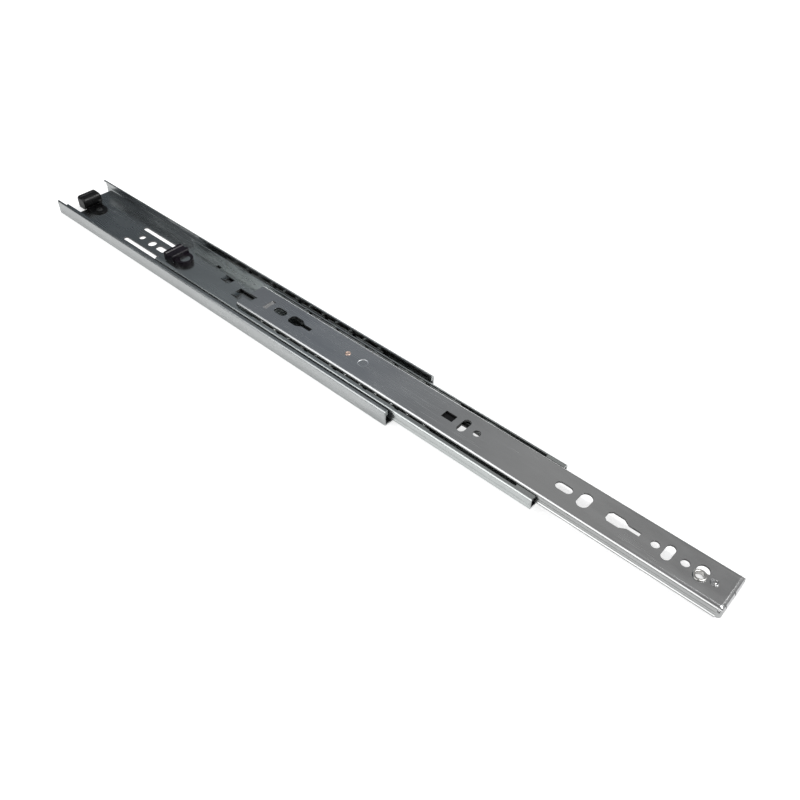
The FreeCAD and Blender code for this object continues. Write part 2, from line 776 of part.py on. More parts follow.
def inner_member():
    """The member that carries the equipment. Its nose is turned down, its catch bent down."""
    body = new_body("inner_member", INNER_REAR)
    length, top, sheet = S["inner_length"], S["inner_top"], S["sheet"]
    web_end = length - S["nose_bend"]
    section = new_sketch(body, "section", "YZ_Plane")
    inner_profile(section)
    pad(body, section, web_end)

    nose_tab(body, web_end)

    def back(name):
        return length - S[name]

    holes = new_sketch(body, "openings", "XY_Plane")
    add_rectangle(holes, -1.0, S["rear_notch"], S["rear_notch_near"], S["rear_notch_far"])
    add_rectangle(
        holes,
        S["catch"],
        S["catch"] + S["catch_length"],
        -(S["catch_width"] / 2),
        S["catch_width"] / 2,
    )
    for station in (S["rear_slot"], back("front_slot")):
        add_obround(holes, station, 0, S["slot_length"], S["slot_width"])
    for station in (S["middle_cross"], back("front_cross")):
        add_obround(holes, station, 0, S["cross_length"], S["cross_width"], crosswise=True)
    add_obround(holes, back("wide_hole"), 0, S["cross_length"], S["wide_width"], crosswise=True)
    add_obround(
        holes,
        back("adjuster"),
        0,
        S["adjuster_slot"],
        (S["eyelet_radius"] + S["eyelet_play"]) * 2,
        crosswise=True,
    )
    for station in (S["middle_hole"], back("front_hole"), back("nose_hole")):
        add_circle(holes, station, 0, S["screw_radius"])
    add_circle(holes, S["lever_pivot"], 0, S["rivet_radius"])
    add_circle(holes, back("adjuster_rivet"), S["adjuster_side"], S["nail_radius"])
    for station in (S["rear_bottle"], back("front_bottle")):
        add_bottle(holes, station)
    add_rectangle(
        holes,
        S["window"] - S["window_length"] / 2,
        S["window"] + S["window_length"] / 2,
        -(S["window_width"] / 2),
        S["window_width"] / 2,
    )
    pocket(body, holes)

    catch = new_sketch(body, "catch", "XZ_Plane")
    root, foot = S["catch"], S["catch_foot"]
    reach = S["catch_length"] - 0.4
    add_outline(
        catch,
        [
            (root - 0.4, top - sheet),
            (root + reach - 0.5, foot),
            (root + reach, foot + sheet - 0.15),
            (root - 0.4, top),
        ],
    )
    pad(body, catch, S["catch_width"] - 0.5, midplane=True)
    sunk_seat(body, "lever_seat", S["lever_seat"], size_of(3.25), S["lever_gap"] - 0.1)
    return body


def sunk_seat(body, name, station, radius, depth):
    """A round seat pressed down into the inner web, standing out as much below it."""
    below = new_sketch(body, f"{name}_below", "XY_Plane", INNER_WEB_UNDER)
    add_circle(below, station, 0, radius * 0.94)
    pad(body, below, depth, backwards=True)
    above = new_sketch(body, f"{name}_above", "XY_Plane", S["inner_top"])
    add_circle(above, station, 0, radius)
    pocket(body, above, depth)


# ---- balls and cages ------------------------------------------------------------------------

def ball_cage(label, rear, side, ball_height, floor):
    """Two upright strips with a socket for each ball, joined by a short floor at the front."""
    body = new_body(label, rear)
    strip = S["cage_sheet"] / 2
    top = ball_height + S["cage_rise"]
    outer, inner = side + strip, side - strip
    section = new_sketch(body, "section", "YZ_Plane")
    add_outline(
        section,
        [
            (-outer, floor),
            (outer, floor),
            (outer, top),
            (inner, top),
            (inner, floor + S["cage_sheet"]),
            (-inner, floor + S["cage_sheet"]),
            (-inner, top),
            (-outer, top),
        ],
    )
    pad(body, section, CAGE_LENGTH)
    gap = new_sketch(body, "open_floor", "XY_Plane")
    foot = inner - 0.8
    add_rectangle(gap, -1.0, CAGE_LENGTH - S["cage_bridge"], -foot, foot)
    pocket(body, gap)

    socket = new_sketch(body, "socket", "XZ_Plane")
    add_flats(socket, S["cage_end"], ball_height, S["ball"] / 2 + S["socket_play"], 8)
    repeat_along(body, pocket(body, socket), S["ball_pitch"], BALLS_PER_ROW)

    notch = new_sketch(body, "notch", "XZ_Plane")
    middle = S["cage_end"] + S["ball_pitch"] * 1.5
    add_rectangle(
        notch,
        middle - S["cage_notch"] / 2,
        middle + S["cage_notch"] / 2,
        top - S["cage_notch_depth"],
        top + 1.0,
    )
    repeat_along(body, pocket(body, notch), S["ball_pitch"] * 2, BALLS_PER_ROW // 2 - 1)
    return body


def faceted_ball(radius):
    """A ball of 26 flat faces whose corners lie on the true ball."""
    long, signs = 1 + math.sqrt(2), (-1, 1)
    corners = []
    for a, b, c in [(a, b, c) for a in signs for b in signs for c in signs]:
        corners += [Vector(a * long, b, c), Vector(a, b * long, c), Vector(a, b, c * long)]
    corners = [Vector(point).normalize() * radius for point in corners]
    steps = (-1, 0, 1)
    normals = [Vector(a, b, c) for a in steps for b in steps for c in steps if a or b or c]
    flats = []
    for normal in normals:
        reach = max(normal.dot(point) for point in corners)
        ring = [point for point in corners if normal.dot(point) > reach - 1e-6]
        middle = sum(ring, Vector()) / len(ring)
        start = ring[0] - middle
        side = normal.cross(start).normalize() * start.Length
        ring.sort(key=lambda p: math.atan2((p - middle).dot(side), (p - middle).dot(start)))
        flats.append(Part.Face(Part.makePolygon(ring + ring[:1])))
    return Part.Solid(Part.Shell(flats))


def ball_row(label, rear, side, height):
    """One row of balls, each in its socket."""
    row = DOC.addObject("Part::Feature", label)
    row.Label = label
    ball = faceted_ball(S["ball"].number / 2)
    places = [(S["cage_end"] + S["ball_pitch"] * n).number for n in range(BALLS_PER_ROW)]
    row.Shape = Part.makeCompound([ball.translated(Vector(x, 0, 0)) for x in places])
    for axis, place in (("x", rear), ("y", side), ("z", height)):
        row.setExpression(f".Placement.Base.{axis}", place.text)
    return row


# ---- bumpers --------------------------------------------------------------------------------

def rear_bumper():
    """Moulded stop on the outer web: an upright block on a foot held by a pressed button."""
    body = new_body("rear_bumper", OUTER_REAR, ZERO, S["sheet"])
    rear, front, top = S["bumper_rear"], S["bumper_front"], S["bumper_top"] - S["sheet"]
    round_edge = S["bumper_round"]
    slant = round_edge * DIAGONAL
    block = new_sketch(body, "block", "XZ_Plane")
    add_outline(
        block,
        [
            (rear + 1.6, ZERO),
            (S["bumper_toe"], ZERO),
            (front, top - round_edge - 1.6),
            (front, top - round_edge),
            (front - round_edge, top),
            (rear + 1.6, top),
            (rear, top - 1.6),
            (rear, top * 0.4),
        ],
        {3: (round_edge, (front - round_edge + slant, top - round_edge + slant))},
    )
    pad(body, block, S["bumper_width"], midplane=True)

    def upper_ends(edge):
        place = edge.CenterOfMass
        ends = abs(abs(place.y) - S["bumper_width"].number / 2) < 0.01
        return ends and place.z > top.number * 0.5

    cut_edges(body, "corners", upper_ends, size_of(1.2))
    groove = new_sketch(body, "groove", "XZ_Plane")
    middle = S["bumper_groove"]
    add_rectangle(groove, middle - 0.8, middle + 0.8, top - 0.8, top + 1.0)
    pocket(body, groove)
    foot = new_sketch(body, "foot", "XY_Plane")
    hub = S["bumper_button"]
    add_tongue(foot, rear + 3, hub, S["tongue_end"])
    pad(body, foot, S["foot_thickness"])
    eye = new_sketch(body, "eye", "XY_Plane")
    add_circle(eye, hub, 0, S["button_radius"] + 0.3)
    pocket(body, eye)
    return body


def intermediate_bumper():
    """Moulded buffer on the rear of the intermediate web: a ridged bar with a ring."""
    body = new_body("intermediate_bumper", MIDDLE_REAR, ZERO, MIDDLE_WEB_TOP)
    rear, front = -S["buffer_rear"], S["buffer_front"]
    top = S["buffer_top"] - MIDDLE_WEB_TOP
    under = S["sheet"] - 0.1
    bar = new_sketch(body, "bar", "XZ_Plane")
    add_outline(
        bar,
        [
            (rear, -under),
            (-0.05, -under),
            (-0.05, ZERO),
            (front, ZERO),
            (front, top - 0.5),
            (front - 0.5, top),
            (front - 3.4, top),
            (front - 4.4, top - 1.2),
            (front - 8.0, top - 1.2),
            (front - 8.8, top - 0.5),
            (rear + 1.2, top - 0.5),
            (rear, top - 2.0),
        ],
    )
    pad(body, bar, S["buffer_width"], midplane=True)

    def upper_ends(edge):
        place = edge.CenterOfMass
        ends = abs(abs(place.y) - S["buffer_width"].number / 2) < 0.01
        return ends and along(edge, "z") and place.z > 0

    cut_edges(body, "corners", upper_ends, size_of(0.9))
    ring = new_sketch(body, "ring", "XY_Plane")
    hub = S["ring_centre"]
    add_tongue(ring, front - 1.5, hub, S["ring_radius"])
    pad(body, ring, S["ring_top"] - MIDDLE_WEB_TOP)
    bore = new_sketch(body, "bore", "XY_Plane", size_of(-0.5))
    add_circle(bore, S["ring_boss_place"], 0, S["ring_boss"] + S["ring_boss_play"])
    pocket(body, bore, S["ring_top"], upwards=True)
    return body


# ---- release lever and its rivet ------------------------------------------------------------

def release_lever():
    """Long moulded lever under the inner web, with a thumb end and a flexing side arm."""
    top = INNER_WEB_UNDER - S["lever_gap"]
    body = new_body("release_lever", INNER_REAR + S["lever_pivot"], ZERO, top - S["lever_thickness"])
    boss, arm, tip = S["lever_boss"], S["lever_arm"] / 2, S["lever_length"]
    head, head_start = S["lever_head"] / 2, S["lever_length"] - S["lever_head_length"]
    plan = new_sketch(body, "plan", "XY_Plane")
    add_outline(
        plan,
        [
            (ZERO, -boss),
            (boss * 2, -arm),
            (head_start - 4.0, -arm),
            (head_start, -head),
            (tip - 3.0, -head),
            (tip, -head + 3.0),
            (tip, head - 1.0),
            (tip - 1.0, head),
            (head_start, head),
            (head_start - 4.0, arm),
            (boss * 2, arm),
            (ZERO, boss),
            (-boss, ZERO),
        ],
        {
            11: (boss, (-boss * DIAGONAL, boss * DIAGONAL)),
            12: (boss, (-boss * DIAGONAL, -boss * DIAGONAL)),
        },
    )
    pad(body, plan, S["lever_thickness"])
    spring = new_sketch(body, "side_arm", "XY_Plane")
    add_outline(
        spring,
        [
            (boss * 3, -arm + 0.5),
            (boss * 3 + 3.0, -arm + 0.5),
            (boss * 3 + S["side_arm_length"], -arm - S["side_arm_spread"] + 1.0),
            (boss * 3 + S["side_arm_length"], -arm - S["side_arm_spread"]),
        ],
    )
    pad(body, spring, S["lever_thickness"] * 0.7)
    eye = new_sketch(body, "eye", "XY_Plane")
    add_circle(eye, 0, 0, S["rivet_radius"] + S["rivet_play"])
    pocket(body, eye)
    grip = new_sketch(body, "grip", "YZ_Plane", tip - 2.4)
    add_rectangle(grip, -head + 1.2, head - 1.2, -1.6, 0.4)
    pad(body, grip, size_of(2.4))
    return body


def lever_rivet():
    """Copper-plated rivet that the lever turns on: shank, formed head above, wide head below."""
    low = INNER_WEB_UNDER - S["lever_gap"] - S["lever_thickness"] - 0.9
    body = new_body("lever_rivet", INNER_REAR + S["lever_pivot"], ZERO, low)
    head = S["inner_top"] - low
    turned_piece(
        body,
        "half",
        [
            (0, 0),
            (S["rivet_foot"], 0),
            (S["rivet_foot"], 0.7),
            (S["rivet_radius"], 0.7),
            (S["rivet_radius"], head),
            (S["rivet_head"], head),
            (S["rivet_head"] - 0.3, head + S["rivet_head_rise"]),
            (0, head + S["rivet_head_rise"]),
        ],
    )
    return body


# ---- height adjuster ------------------------------------------------------------------------

def turned_piece(body, name, half_outline):
    """A round piece about the body's Z axis from one half of its section."""
    half = new_sketch(body, name, "XZ_Plane")
    add_outline(half, [(size_of(out), size_of(up)) for out, up in half_outline])
    turned = body.newObject("PartDesign::Revolution", f"{body.Name}_{name}_turned")
    turned.Profile = half
    turned.ReferenceAxis = (half, ["V_Axis"])
    turned.Angle = 360
    DOC.recompute()


PLATE_TOP = INNER_WEB_UNDER - S["plate_gap"]
PLATE_UNDER = PLATE_TOP - S["plate_thickness"]
ADJUSTER_PIVOT = (INNER_REAR + S["inner_length"] - S["adjuster_rivet"], S["adjuster_side"])


def adjuster_body(label, height):
    """A body on the adjuster's pivot, turned so that its -X axis points to the eyelet."""
    body = new_body(label, *ADJUSTER_PIVOT, height)
    turn = f"asin({(-S['adjuster_swing'] / S['adjuster_reach']).text})"
    body.setExpression(".Placement.Rotation.Angle", turn)
    return body


def adjuster_plate():
    """Small steel plate that swings under the nose of the inner member."""
    body = adjuster_body("adjuster_plate", PLATE_UNDER)
    reach, radius = S["adjuster_reach"], S["eyelet_radius"] + S["plate_margin"]
    small = S["nail_foot"] + 0.3
    plan = new_sketch(body, "plan", "XY_Plane")
    slant = radius * DIAGONAL
    add_outline(
        plan,
        [
            (small * 0.7, -small),
            (small * 0.7, small),
            (-reach, radius),
            (-reach - radius, ZERO),
            (-reach, -radius),
        ],
        {2: (radius, (-reach - slant, slant)), 3: (radius, (-reach - slant, -slant))},
    )
    pad(body, plan, S["plate_thickness"])
    holes = new_sketch(body, "holes", "XY_Plane")
    add_circle(holes, 0, 0, S["nail_radius"] + S["rivet_play"])
    add_circle(holes, -reach, 0, S["eyelet_radius"])
    pocket(body, holes)
    return body


def adjuster_eyelet():
    """Eyelet pressed into the plate. It stands up through the web's slot and takes a screw."""
    foot = 0.3
    low = PLATE_UNDER - foot
    body = new_body(
        "adjuster_eyelet",
        ADJUSTER_PIVOT[0] - (S["adjuster_reach"] * S["adjuster_reach"]
                             - S["adjuster_swing"] * S["adjuster_swing"]).root(),
        ADJUSTER_PIVOT[1] + S["adjuster_swing"],
        low,
    )
    bore, outside = S["eyelet_bore"], S["eyelet_radius"]
    rim, rim_under = outside + S["eyelet_rim"], S["inner_top"] + S["eyelet_gap"] - low
    top = S["inner_top"] + S["eyelet_rise"] - low
    turned_piece(
        body,
        "half",
        [
            (bore, 0),
            (outside + 0.8, 0),
            (outside + 0.8, foot),
            (outside, foot),
            (outside, rim_under),
            (rim, rim_under),
            (rim, top - 0.25),
            (rim - 0.25, top),
            (bore, top),
        ],
    )
    return body


def adjuster_rivet():
    """Flat rivet through the web that the adjuster plate swings on."""
    low = PLATE_UNDER - 0.8
    body = new_body("adjuster_rivet", *ADJUSTER_PIVOT, low)
    web_top = S["inner_top"] - low
    crown = web_top + S["nail_rise"]
    turned_piece(
        body,
        "half",
        [
            (0, 0),
            (S["nail_foot"], 0),
            (S["nail_foot"], 0.6),
            (S["nail_radius"], 0.6),
            (S["nail_radius"], web_top),
            (S["nail_head"], web_top),
            (S["nail_head"] - 0.35, crown),
            (0, crown),
        ],
    )
    return body


# ---- the whole slide ------------------------------------------------------------------------

def build():
    """Makes every sub-part and returns them."""
    outer_floor = S["sheet"] + S["cage_lift"] - 0.05
    inner_floor = MIDDLE_WEB_TOP + S["cage_lift"]
    parts = [outer_member(), intermediate_member(), inner_member()]
    parts.append(rear_bumper())
    parts.append(intermediate_bumper())
    stages = [
        ("outer", OUTER_CAGE_REAR, OUTER_BALL_SIDE, S["outer_ball_height"], outer_floor),
        ("inner", INNER_CAGE_REAR, INNER_BALL_SIDE, S["inner_ball_height"], inner_floor),
    ]
    for stage, rear, side, height, floor in stages:
        parts.append(ball_cage(f"{stage}_ball_cage", rear, side, height, floor))
        parts.append(ball_row(f"{stage}_balls_left", rear, side, height))
        parts.append(ball_row(f"{stage}_balls_right", rear, -side, height))
    parts += [release_lever(), lever_rivet()]
    parts += [adjuster_plate(), adjuster_eyelet(), adjuster_rivet()]
    DOC.recompute()
    return parts


def check(parts):
    """Stops if an object failed or a sub-part has no sound solid."""
    for item in DOC.Objects:
        if "Invalid" in item.State or "Error" in item.State:
            raise RuntimeError(f"{item.Name} failed: {item.State}")
    for part in parts:
        if part.Shape.isNull() or not part.Shape.isValid() or not part.Shape.Solids:
            raise RuntimeError(f"{part.Label} has no sound solid")


def export(parts):
    """Writes each sub-part to its own STEP file."""
    os.makedirs("parts", exist_ok=True)
    for part in parts:
        part.Shape.exportStep(f"parts/{part.Label}.step")
        box = part.Shape.BoundBox
        print(
            f"{part.Label}: {len(part.Shape.Solids)} solid(s), {part.Shape.Volume:.1f} mm3, "
            f"x {box.XMin:.2f}..{box.XMax:.2f} y {box.YMin:.2f}..{box.YMax:.2f} "
            f"z {box.ZMin:.2f}..{box.ZMax:.2f}"
        )


PARTS = build()
check(PARTS)
export(PARTS)
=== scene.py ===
# %% [markdown]
# # A ball-bearing slide rail
# Three nested channels of rolled steel run on two cages of balls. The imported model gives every
# piece its size, place and movement. This script loads it, dresses each piece in a finish and a
# finer surface, and lights it on a pale table.

import math

import bmesh
import bpy
import numpy as np
from mathutils import Matrix, Vector


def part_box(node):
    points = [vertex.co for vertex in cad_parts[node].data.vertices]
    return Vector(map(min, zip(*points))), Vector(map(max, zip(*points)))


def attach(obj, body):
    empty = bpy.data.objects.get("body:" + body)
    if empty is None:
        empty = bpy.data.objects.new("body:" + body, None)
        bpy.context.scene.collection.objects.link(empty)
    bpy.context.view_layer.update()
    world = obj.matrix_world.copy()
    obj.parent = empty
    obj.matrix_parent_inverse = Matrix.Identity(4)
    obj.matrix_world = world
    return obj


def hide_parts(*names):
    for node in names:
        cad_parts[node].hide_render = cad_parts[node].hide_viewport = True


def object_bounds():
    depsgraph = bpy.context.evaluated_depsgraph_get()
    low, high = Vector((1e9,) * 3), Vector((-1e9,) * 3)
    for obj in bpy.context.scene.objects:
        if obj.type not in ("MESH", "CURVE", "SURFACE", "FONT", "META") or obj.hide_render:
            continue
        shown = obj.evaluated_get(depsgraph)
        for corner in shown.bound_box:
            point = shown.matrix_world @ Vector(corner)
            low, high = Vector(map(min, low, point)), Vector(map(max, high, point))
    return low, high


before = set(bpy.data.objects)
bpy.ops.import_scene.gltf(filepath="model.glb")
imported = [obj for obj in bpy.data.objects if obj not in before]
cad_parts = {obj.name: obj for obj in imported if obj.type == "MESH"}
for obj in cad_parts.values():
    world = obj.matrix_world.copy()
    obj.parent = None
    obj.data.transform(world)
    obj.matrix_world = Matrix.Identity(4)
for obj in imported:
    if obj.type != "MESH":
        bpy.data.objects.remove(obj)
cad_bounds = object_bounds()
MM = 0.001

# %% [markdown]
# ## Helpers for finishes
# A finish in Blender is a graph of nodes. Writing each node with its links on one line keeps a
# graph readable: `add` makes a node, sets its plain values and links its inputs. The others are
# short forms for the nodes that every finish needs: a sum, a ramp, a mix and a noise.

# %% Node helpers
def add(tree, kind, settings=None, **inputs):
    """Makes one node. settings are its own properties; an input is a value or another socket.

    An input goes by Blender's name for it, with _ for a space, or by its number, as in _0.
    """
    node = tree.nodes.new("ShaderNode" + kind)
    for name, value in (settings or {}).items():
        setattr(node, name, value)
    for name, value in inputs.items():
        key = int(name[1:]) if name[1:].isdigit() else name.replace("_", " ")
        if isinstance(value, bpy.types.NodeSocket):
            tree.links.new(value, node.inputs[key])
        else:
            node.inputs[key].default_value = value
    return node


def calculate(tree, operation, *values):
    """The result of one Math node on numbers or sockets."""
    inputs = {f"_{index}": value for index, value in enumerate(values)}
    return add(tree, "Math", {"operation": operation}, **inputs).outputs[0]


def ramp(tree, factor, stops):
    """A colour ramp through stops of (place, grey or colour)."""
    node = add(tree, "ValToRGB", _0=factor)
    elements = node.color_ramp.elements
    while len(elements) < len(stops):
        elements.new(0.5)
    for element, (place, colour) in zip(elements, stops):
        element.position = place
        grey = isinstance(colour, (int, float))
        element.color = (colour, colour, colour, 1) if grey else (*colour, 1)
    return node.outputs[0]


def mixed(tree, factor, first, second, blend="MIX"):
    """Two colours mixed by a factor: 0 gives the first and 1 the second."""
    colours = [
        colour if isinstance(colour, bpy.types.NodeSocket) else (*colour, 1)
        for colour in (first, second)
    ]
    settings = {"data_type": "RGBA", "blend_type": blend}
    return add(tree, "Mix", settings, _0=factor, _6=colours[0], _7=colours[1]).outputs[2]


def noise(tree, place, scale, stretch=(1, 1, 1), detail=4, roughness=0.55):
    """Cloudy noise on the piece's own coordinates, stretched by a scale for each axis."""
    mapping = add(tree, "Mapping", Vector=place, Scale=stretch)
    return add(
        tree, "TexNoise", Vector=mapping.outputs[0], Scale=scale, Detail=detail, Roughness=roughness
    ).outputs[0]


def new_material(name):
    """An empty material and its tree, its shader and the piece's own coordinates."""
    material = bpy.data.materials.new(name)
    material.use_nodes = True
    tree = material.node_tree
    tree.nodes.clear()
    shader = add(tree, "BsdfPrincipled")
    output = add(tree, "OutputMaterial")
    tree.links.new(shader.outputs[0], output.inputs[0])
    place = add(tree, "TexCoord").outputs["Object"]
    return material, tree, shader, place


# %% [markdown]
# ## Places painted darker or lighter than the sheet around them
# The walls of punched openings are bare sheared steel, which their higher roughness gives, and their
# colour is darkened as painted shade inside the holes. The sides that balls roll along, the inner
# member's flanks, are darkened as painted shade. The rim of the round seat pressed into the inner web
# is a light ring, a painted highlight. Each could be a material slot of its own, but the faces would
# have to be picked on the mesh. A mask is simpler: a socket that is 1 in such a place and 0
# elsewhere, worked out from how a face lies and where it is.

# %% Masks
UPRIGHT = 0.4
STEEP = 0.6


def lie_of_face(tree):
    """How level a face lies (0 upright, 1 flat), its place along X and its distance from Y = 0."""
    coordinates = add(tree, "TexCoord")
    facing = add(tree, "SeparateXYZ", Vector=coordinates.outputs["Normal"]).outputs[2]
    place = add(tree, "SeparateXYZ", Vector=coordinates.outputs["Object"])
    aside = calculate(tree, "ABSOLUTE", place.outputs[1])
    return calculate(tree, "ABSOLUTE", facing), place.outputs[0], aside


def where_all(tree, *tests):
    """1 where every test holds, else 0. A test is a socket, a comparison and a limit."""
    answer = 1.0
    for value, comparison, limit in tests:
        passed = calculate(tree, comparison, value, limit)
        answer = calculate(tree, "MULTIPLY", answer, passed)
    return answer


def punched_walls(tree, half_width, front=1.0):
    """1 on upright faces less than half_width from the middle and behind the front, else 0."""
    level, along, aside = lie_of_face(tree)
    return where_all(
        tree,
        (level, "LESS_THAN", UPRIGHT),
        (aside, "LESS_THAN", half_width),
        (along, "LESS_THAN", front),
    )


# Mask for the painted shade that darkens the inner member's flanks.
def shaded_flanks(tree, from_middle):
    """1 on steep faces further than from_middle from the slide's middle plane, else 0."""
    level, _, aside = lie_of_face(tree)
    return where_all(tree, (level, "LESS_THAN", STEEP), (aside, "GREATER_THAN", from_middle))


def pressed_ring(tree, centre, radius, width):
    """1 within half the width of a circle around the centre, seen from above, else 0."""
    place = add(tree, "SeparateXYZ", Vector=add(tree, "TexCoord").outputs["Object"])
    flat = add(tree, "CombineXYZ", X=place.outputs[0], Y=place.outputs[1])
    away = add(tree, "VectorMath", {"operation": "DISTANCE"}, _0=flat.outputs[0], _1=(*centre, 0))
    return calculate(tree, "COMPARE", away.outputs["Value"], radius, width / 2)


# %% [markdown]
# ## Zinc-plated steel
# The members are rolled from sheet and plated afterwards. Rolling leaves fine lines along the
# slide; plating adds a faint blue-grey cloud; handling adds scratches and dull patches. The lines
# are noise squeezed along X, the cloud is slow noise in the colour, and the scratches are thin
# bands of stretched noise that raise the roughness. A bump this small only shows in the gloss. An
# image of steel would have to be unwrapped and would repeat. Noise does neither: at a scale of 900
# its features are about 1/900 of a metre across, and a stretch of 0.012 draws them out along X.

# %% Zinc-plated steel
# Painted shade: the dark colour given to the walls of punched openings.
WALL_SHADE = (0.18, 0.18, 0.18)
SHEARED_ROUGHNESS = (0.5, 0.5, 0.5)
# Painted shade: the tint that darkens the inner member's flanks.
FLANK_SHADE = (0.72, 0.73, 0.72)
# Painted highlight: the light colour given to the seat's rim.
SEAT_RIM_HIGHLIGHT = (0.95, 0.96, 0.97)


def zinc_steel(
    name, light, dark, roughness, tint=(0.93, 0.98, 1.0), grain=1.0, walls=None, sides=None, ring=None
):
    """Metal whose tone wanders between dark and light, with rolling lines and scratches.

    walls holds what punched_walls asks for after the tree, and those walls get painted shade; sides
    what shaded_flanks asks for, and those flanks get painted shade; ring what pressed_ring asks for,
    and that ring gets a painted highlight. Without them, the sheet has no such place.
    """
    material, tree, shader, place = new_material(name)
    cloud = noise(tree, place, 55, (0.35, 1, 1), 5, 0.6)
    lines = noise(tree, place, 900, (0.012, 1, 1), 3, 0.6)
    speck = noise(tree, place, 2600, (0.5, 1, 1), 2, 0.5)
    hair = noise(tree, place, 320, (0.05, 1.6, 1.6), 2, 0.35)
    dull = noise(tree, place, 30, (0.6, 1, 1), 3)
    tone = mixed(
        tree,
        ramp(tree, cloud, [(0.3, 0), (0.7, 1)]),
        tuple(dark * c for c in tint),
        tuple(light * c for c in tint),
    )
    tone = mixed(tree, ramp(tree, lines, [(0.25, 0.975), (0.75, 1)]), (0, 0, 0), tone)
    scratch = ramp(tree, hair, [(0.485, 0), (0.5, 1), (0.515, 0)])
    mark = mixed(tree, ramp(tree, dull, [(0.45, 0), (0.62, 1)]), (0, 0, 0), scratch)
    tone = mixed(tree, mark, tone, tuple(min(1, light * 1.12) * c for c in tint))
    gloss = ramp(tree, cloud, [(0.3, roughness * 0.85), (0.75, roughness * 1.25)])
    gloss = mixed(tree, mark, gloss, (min(1, roughness * 1.5),) * 3)
    if walls:
        # Painted shade on the walls of punched openings; their roughness is that of sheared steel.
        wall_shade_mask = punched_walls(tree, *walls)
        tone = mixed(tree, wall_shade_mask, tone, WALL_SHADE)
        gloss = mixed(tree, wall_shade_mask, gloss, SHEARED_ROUGHNESS)
    if sides:
        # Painted shade: the flanks are darkened.
        flank_shade_mask = shaded_flanks(tree, *sides)
        tone = mixed(tree, flank_shade_mask, tone, mixed(tree, 1.0, tone, FLANK_SHADE, "MULTIPLY"))
    if ring:
        # Painted highlight: a light ring on the rim of the pressed seat.
        tone = mixed(tree, pressed_ring(tree, *ring), tone, SEAT_RIM_HIGHLIGHT)
    height = mixed(tree, 0.35, lines, speck)
    bump = add(tree, "Bump", Strength=0.06 * grain, Distance=0.00008, Height=height)
    tree.links.new(tone, shader.inputs["Base Color"])
    tree.links.new(gloss, shader.inputs["Roughness"])
    tree.links.new(bump.outputs[0], shader.inputs["Normal"])
    shader.inputs["Metallic"].default_value = 1.0
    return material


# %% [markdown]
# ## One finish for each member
# One finish for all would make the three channels run together to the eye. Each member gets its own
# brightness and a slightly different tint instead, as sheet from different coils has. The inner
# member has two things that the others lack: a nose turned down at its front end, which isn't a
# punched wall, and the pressed seat on its middle line.

# %% Steel finishes
inner_rear, inner_front = (corner[0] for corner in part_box("inner_member"))
nose_starts = inner_front - 10.5 * MM
seat_centre = (inner_rear + 105.5 * MM, 0.0)
seat_ring = (seat_centre, 3.25 * MM, 0.5 * MM)

# walls= darkens the walls of punched openings as painted shade.
outer_zinc = zinc_steel(
    "outer_zinc", 0.52, 0.44, 0.25, (0.96, 0.99, 0.99), 0.35, walls=(18.0 * MM,)
)
middle_zinc = zinc_steel(
    "middle_zinc", 0.62, 0.52, 0.25, (0.96, 1.0, 0.99), 0.35, walls=(13.5 * MM,)
)
# The inner member's flanks are darkened as painted shade, and the seat's rim gets a painted
# highlight.
inner_zinc = zinc_steel(
    "inner_zinc", 0.65, 0.56, 0.23, (0.99, 0.995, 1.0), 0.3,
    walls=(10.2 * MM, nose_starts), sides=(10.5 * MM,), ring=seat_ring,
)
cage_zinc = zinc_steel("cage_zinc", 0.62, 0.48, 0.33, (0.97, 1.0, 0.97), 1.4)
plated_bright = zinc_steel("plated_bright", 0.78, 0.66, 0.22, (1.0, 0.99, 0.96))
copper_plate = zinc_steel("copper_plate", 0.98, 0.84, 0.30, (1.0, 0.76, 0.64))
print("steel finishes:", [m.name for m in bpy.data.materials])
print("seat centre in mm:", [round(value / MM, 2) for value in seat_centre])

# %% [markdown]
# ## Polished ball steel
# Bearing balls are ground and lapped, so they are the one mirror-like piece. A perfect mirror would
# sparkle alike on every ball. A film of grease makes the gloss uneven, which slow noise in the
# roughness gives.

# %% Ball steel
def ball_steel():
    """Near-mirror steel under an uneven film of grease."""
    material, tree, shader, place = new_material("ball_steel")
    film = noise(tree, place, 700, (1, 1, 1), 3)
    tone = mixed(tree, film, (0.70, 0.71, 0.70), (0.84, 0.85, 0.86))
    gloss = ramp(tree, film, [(0.35, 0.06), (0.7, 0.2)])
    tree.links.new(tone, shader.inputs["Base Color"])
    tree.links.new(gloss, shader.inputs["Roughness"])
    shader.inputs["Metallic"].default_value = 1.0
    return material


ball_finish = ball_steel()
print("ball finish:", ball_finish.name)

# %% [markdown]
# ## Moulded black plastic
# The bumpers and the lever are moulded acetal: nearly black, with the fine spark-eroded grain of
# the mould and a soft sheen where fingers and steel have rubbed it. A plain black would look like a
# hole, so grain in the bump and changes in the gloss let its shape show. The bumper on the
# intermediate member has a trace of plum in its black.

# %% Moulded plastic
def moulded(name, colour, roughness):
    """Dark plastic with the mould's grain in its bump and slow changes in its gloss."""
    material, tree, shader, place = new_material(name)
    cloud = noise(tree, place, 160, (1, 1, 1), 4)
    grain = noise(tree, place, 5200, (1, 1, 1), 2)
    lighter = tuple(c * 1.9 + 0.004 for c in colour)
    tone = mixed(tree, ramp(tree, cloud, [(0.35, 0), (0.75, 1)]), colour, lighter)
    gloss = ramp(tree, cloud, [(0.3, roughness * 0.8), (0.7, roughness * 1.3)])
    bump = add(tree, "Bump", Strength=0.25, Distance=0.00006, Height=grain)
    tree.links.new(tone, shader.inputs["Base Color"])
    tree.links.new(gloss, shader.inputs["Roughness"])
    tree.links.new(bump.outputs[0], shader.inputs["Normal"])
    shader.inputs["Specular IOR Level"].default_value = 0.3
    return material


